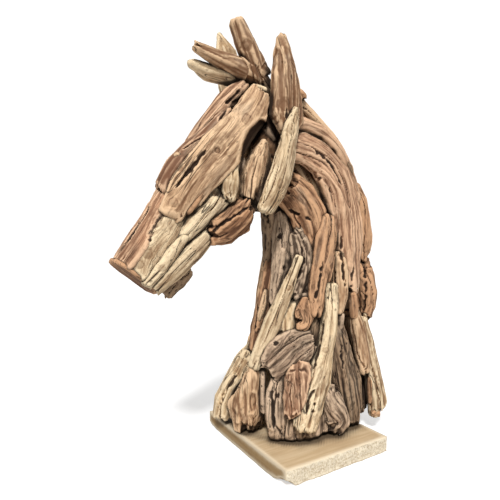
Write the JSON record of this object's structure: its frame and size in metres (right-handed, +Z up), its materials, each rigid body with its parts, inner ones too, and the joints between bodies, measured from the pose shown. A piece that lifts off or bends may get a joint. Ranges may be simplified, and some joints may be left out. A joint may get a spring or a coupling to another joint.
{
  "type": "driftwood horse head sculpture",
  "caption": "Standing sculpture of a horse's head and neck built up from weathered driftwood pieces, with branches for a forelock, on a rectangular wooden slab.",
  "frame": {"origin": "centre of the slab's underside", "axes": "+Z up; the horse looks along -X; its left side, the one pictured, is -Y; metres"},
  "size_m": [0.7012, 0.35, 1.0069],
  "materials": {
    "slab_wood": "smooth sawn face with rough chipped edges",
    "rust_driftwood": "weathered, reddish brown",
    "honey_driftwood": "weathered and worn smooth",
    "pale_driftwood": "sun-bleached, cracked along the grain",
    "grey_driftwood": "grey, rough and pitted",
    "rose_driftwood": "weathered, pinkish",
    "dark_driftwood": "dark and rough, mostly in shadow"
  },
  "bodies": {
    "root": {"base_slab": "slab_wood", "muzzle_board": "rust_driftwood", "left_ear": "honey_driftwood", "forked_branch": "honey_driftwood", "lower_branch": "pale_driftwood", "right_ear": "pale_driftwood", "left_jaw_strap": "pale_driftwood", "left_cheek_plank": "honey_driftwood", "left_muzzle_plank": "pale_driftwood", "left_cheek_log": "pale_driftwood", "left_jaw_wedge": "pale_driftwood", "left_lip_strip": "pale_driftwood", "left_chin_plank": "pale_driftwood", "left_jaw_stave": "rust_driftwood", "left_eye_block": "honey_driftwood", "left_temple_block": "rust_driftwood", "brow_stave": "rose_driftwood", "nose_stave": "rose_driftwood", "muzzle_top_stave": "rose_driftwood", "chin_lump": "dark_driftwood", "right_brow_stave": "honey_driftwood", "left_long_leg": "pale_driftwood", "diagonal_pole": "pale_driftwood", "front_flare_root": "honey_driftwood", "left_neck_arc": "rose_driftwood", "left_throat_log": "rust_driftwood", "left_mid_column": "rust_driftwood", "left_side_strip": "honey_driftwood", "smooth_chip": "rust_driftwood", "left_throat_block": "grey_driftwood", "left_inner_stave": "pale_driftwood", "grey_plate": "grey_driftwood", "base_lobe": "rose_driftwood", "base_front_plank": "grey_driftwood", "left_splayed_foot": "grey_driftwood", "left_bark_column": "dark_driftwood", "left_rear_stave": "honey_driftwood", "left_rear_leg": "pale_driftwood", "inner_grey_stave": "dark_driftwood", "crest_top_stave": "honey_driftwood", "left_crest_strip": "rose_driftwood", "back_upper_stave": "rust_driftwood", "back_lower_stave": "rust_driftwood", "rear_block": "dark_driftwood", "throat_front_stave": "grey_driftwood", "throat_middle_stave": "dark_driftwood", "breast_stave": "rust_driftwood", "breast_root": "pale_driftwood", "right_jaw_strap": "honey_driftwood", "right_eye_block": "grey_driftwood", "right_cheek_plank": "rose_driftwood", "right_jaw_log": "honey_driftwood", "right_neck_arc": "honey_driftwood", "right_crest_stave": "rust_driftwood", "right_throat_stave": "rose_driftwood", "right_front_root": "honey_driftwood", "right_long_leg": "pale_driftwood", "right_rear_root": "grey_driftwood", "right_back_stave": "honey_driftwood", "right_rear_leg": "rust_driftwood"}
  },
  "joints": []
}
